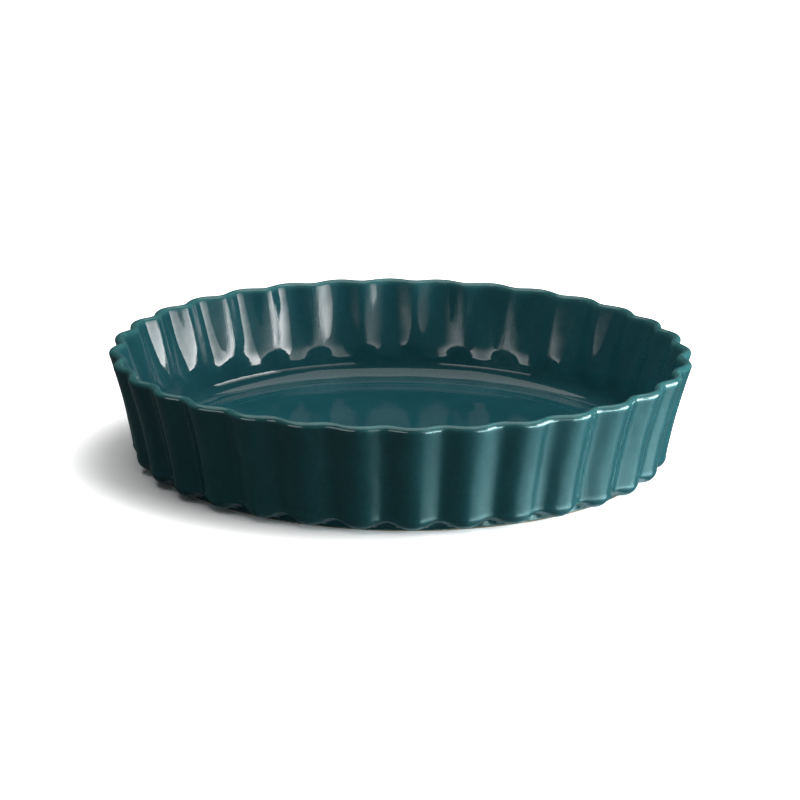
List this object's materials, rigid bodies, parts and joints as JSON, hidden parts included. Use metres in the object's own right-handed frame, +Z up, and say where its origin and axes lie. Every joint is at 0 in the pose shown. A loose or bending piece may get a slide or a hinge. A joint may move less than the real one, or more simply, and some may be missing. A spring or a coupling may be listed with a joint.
{
  "type": "fluted quiche dish",
  "caption": "Round deep baking dish with a fluted flared wall, a thin rounded rim, a flat round floor inside and a low foot ring.",
  "frame": {"origin": "middle of the foot ring, on the surface that the dish stands on", "axes": "+Z up along the dish's axis, with the crest of a flute on +X"},
  "size_m": [0.32, 0.32, 0.0625],
  "materials": {
    "fired_clay": "matte",
    "teal_glaze": "gloss"
  },
  "bodies": {
    "root": {"stoneware_body": "fired_clay", "glaze_coat": "teal_glaze", "underside_glaze": "teal_glaze"}
  },
  "joints": []
}
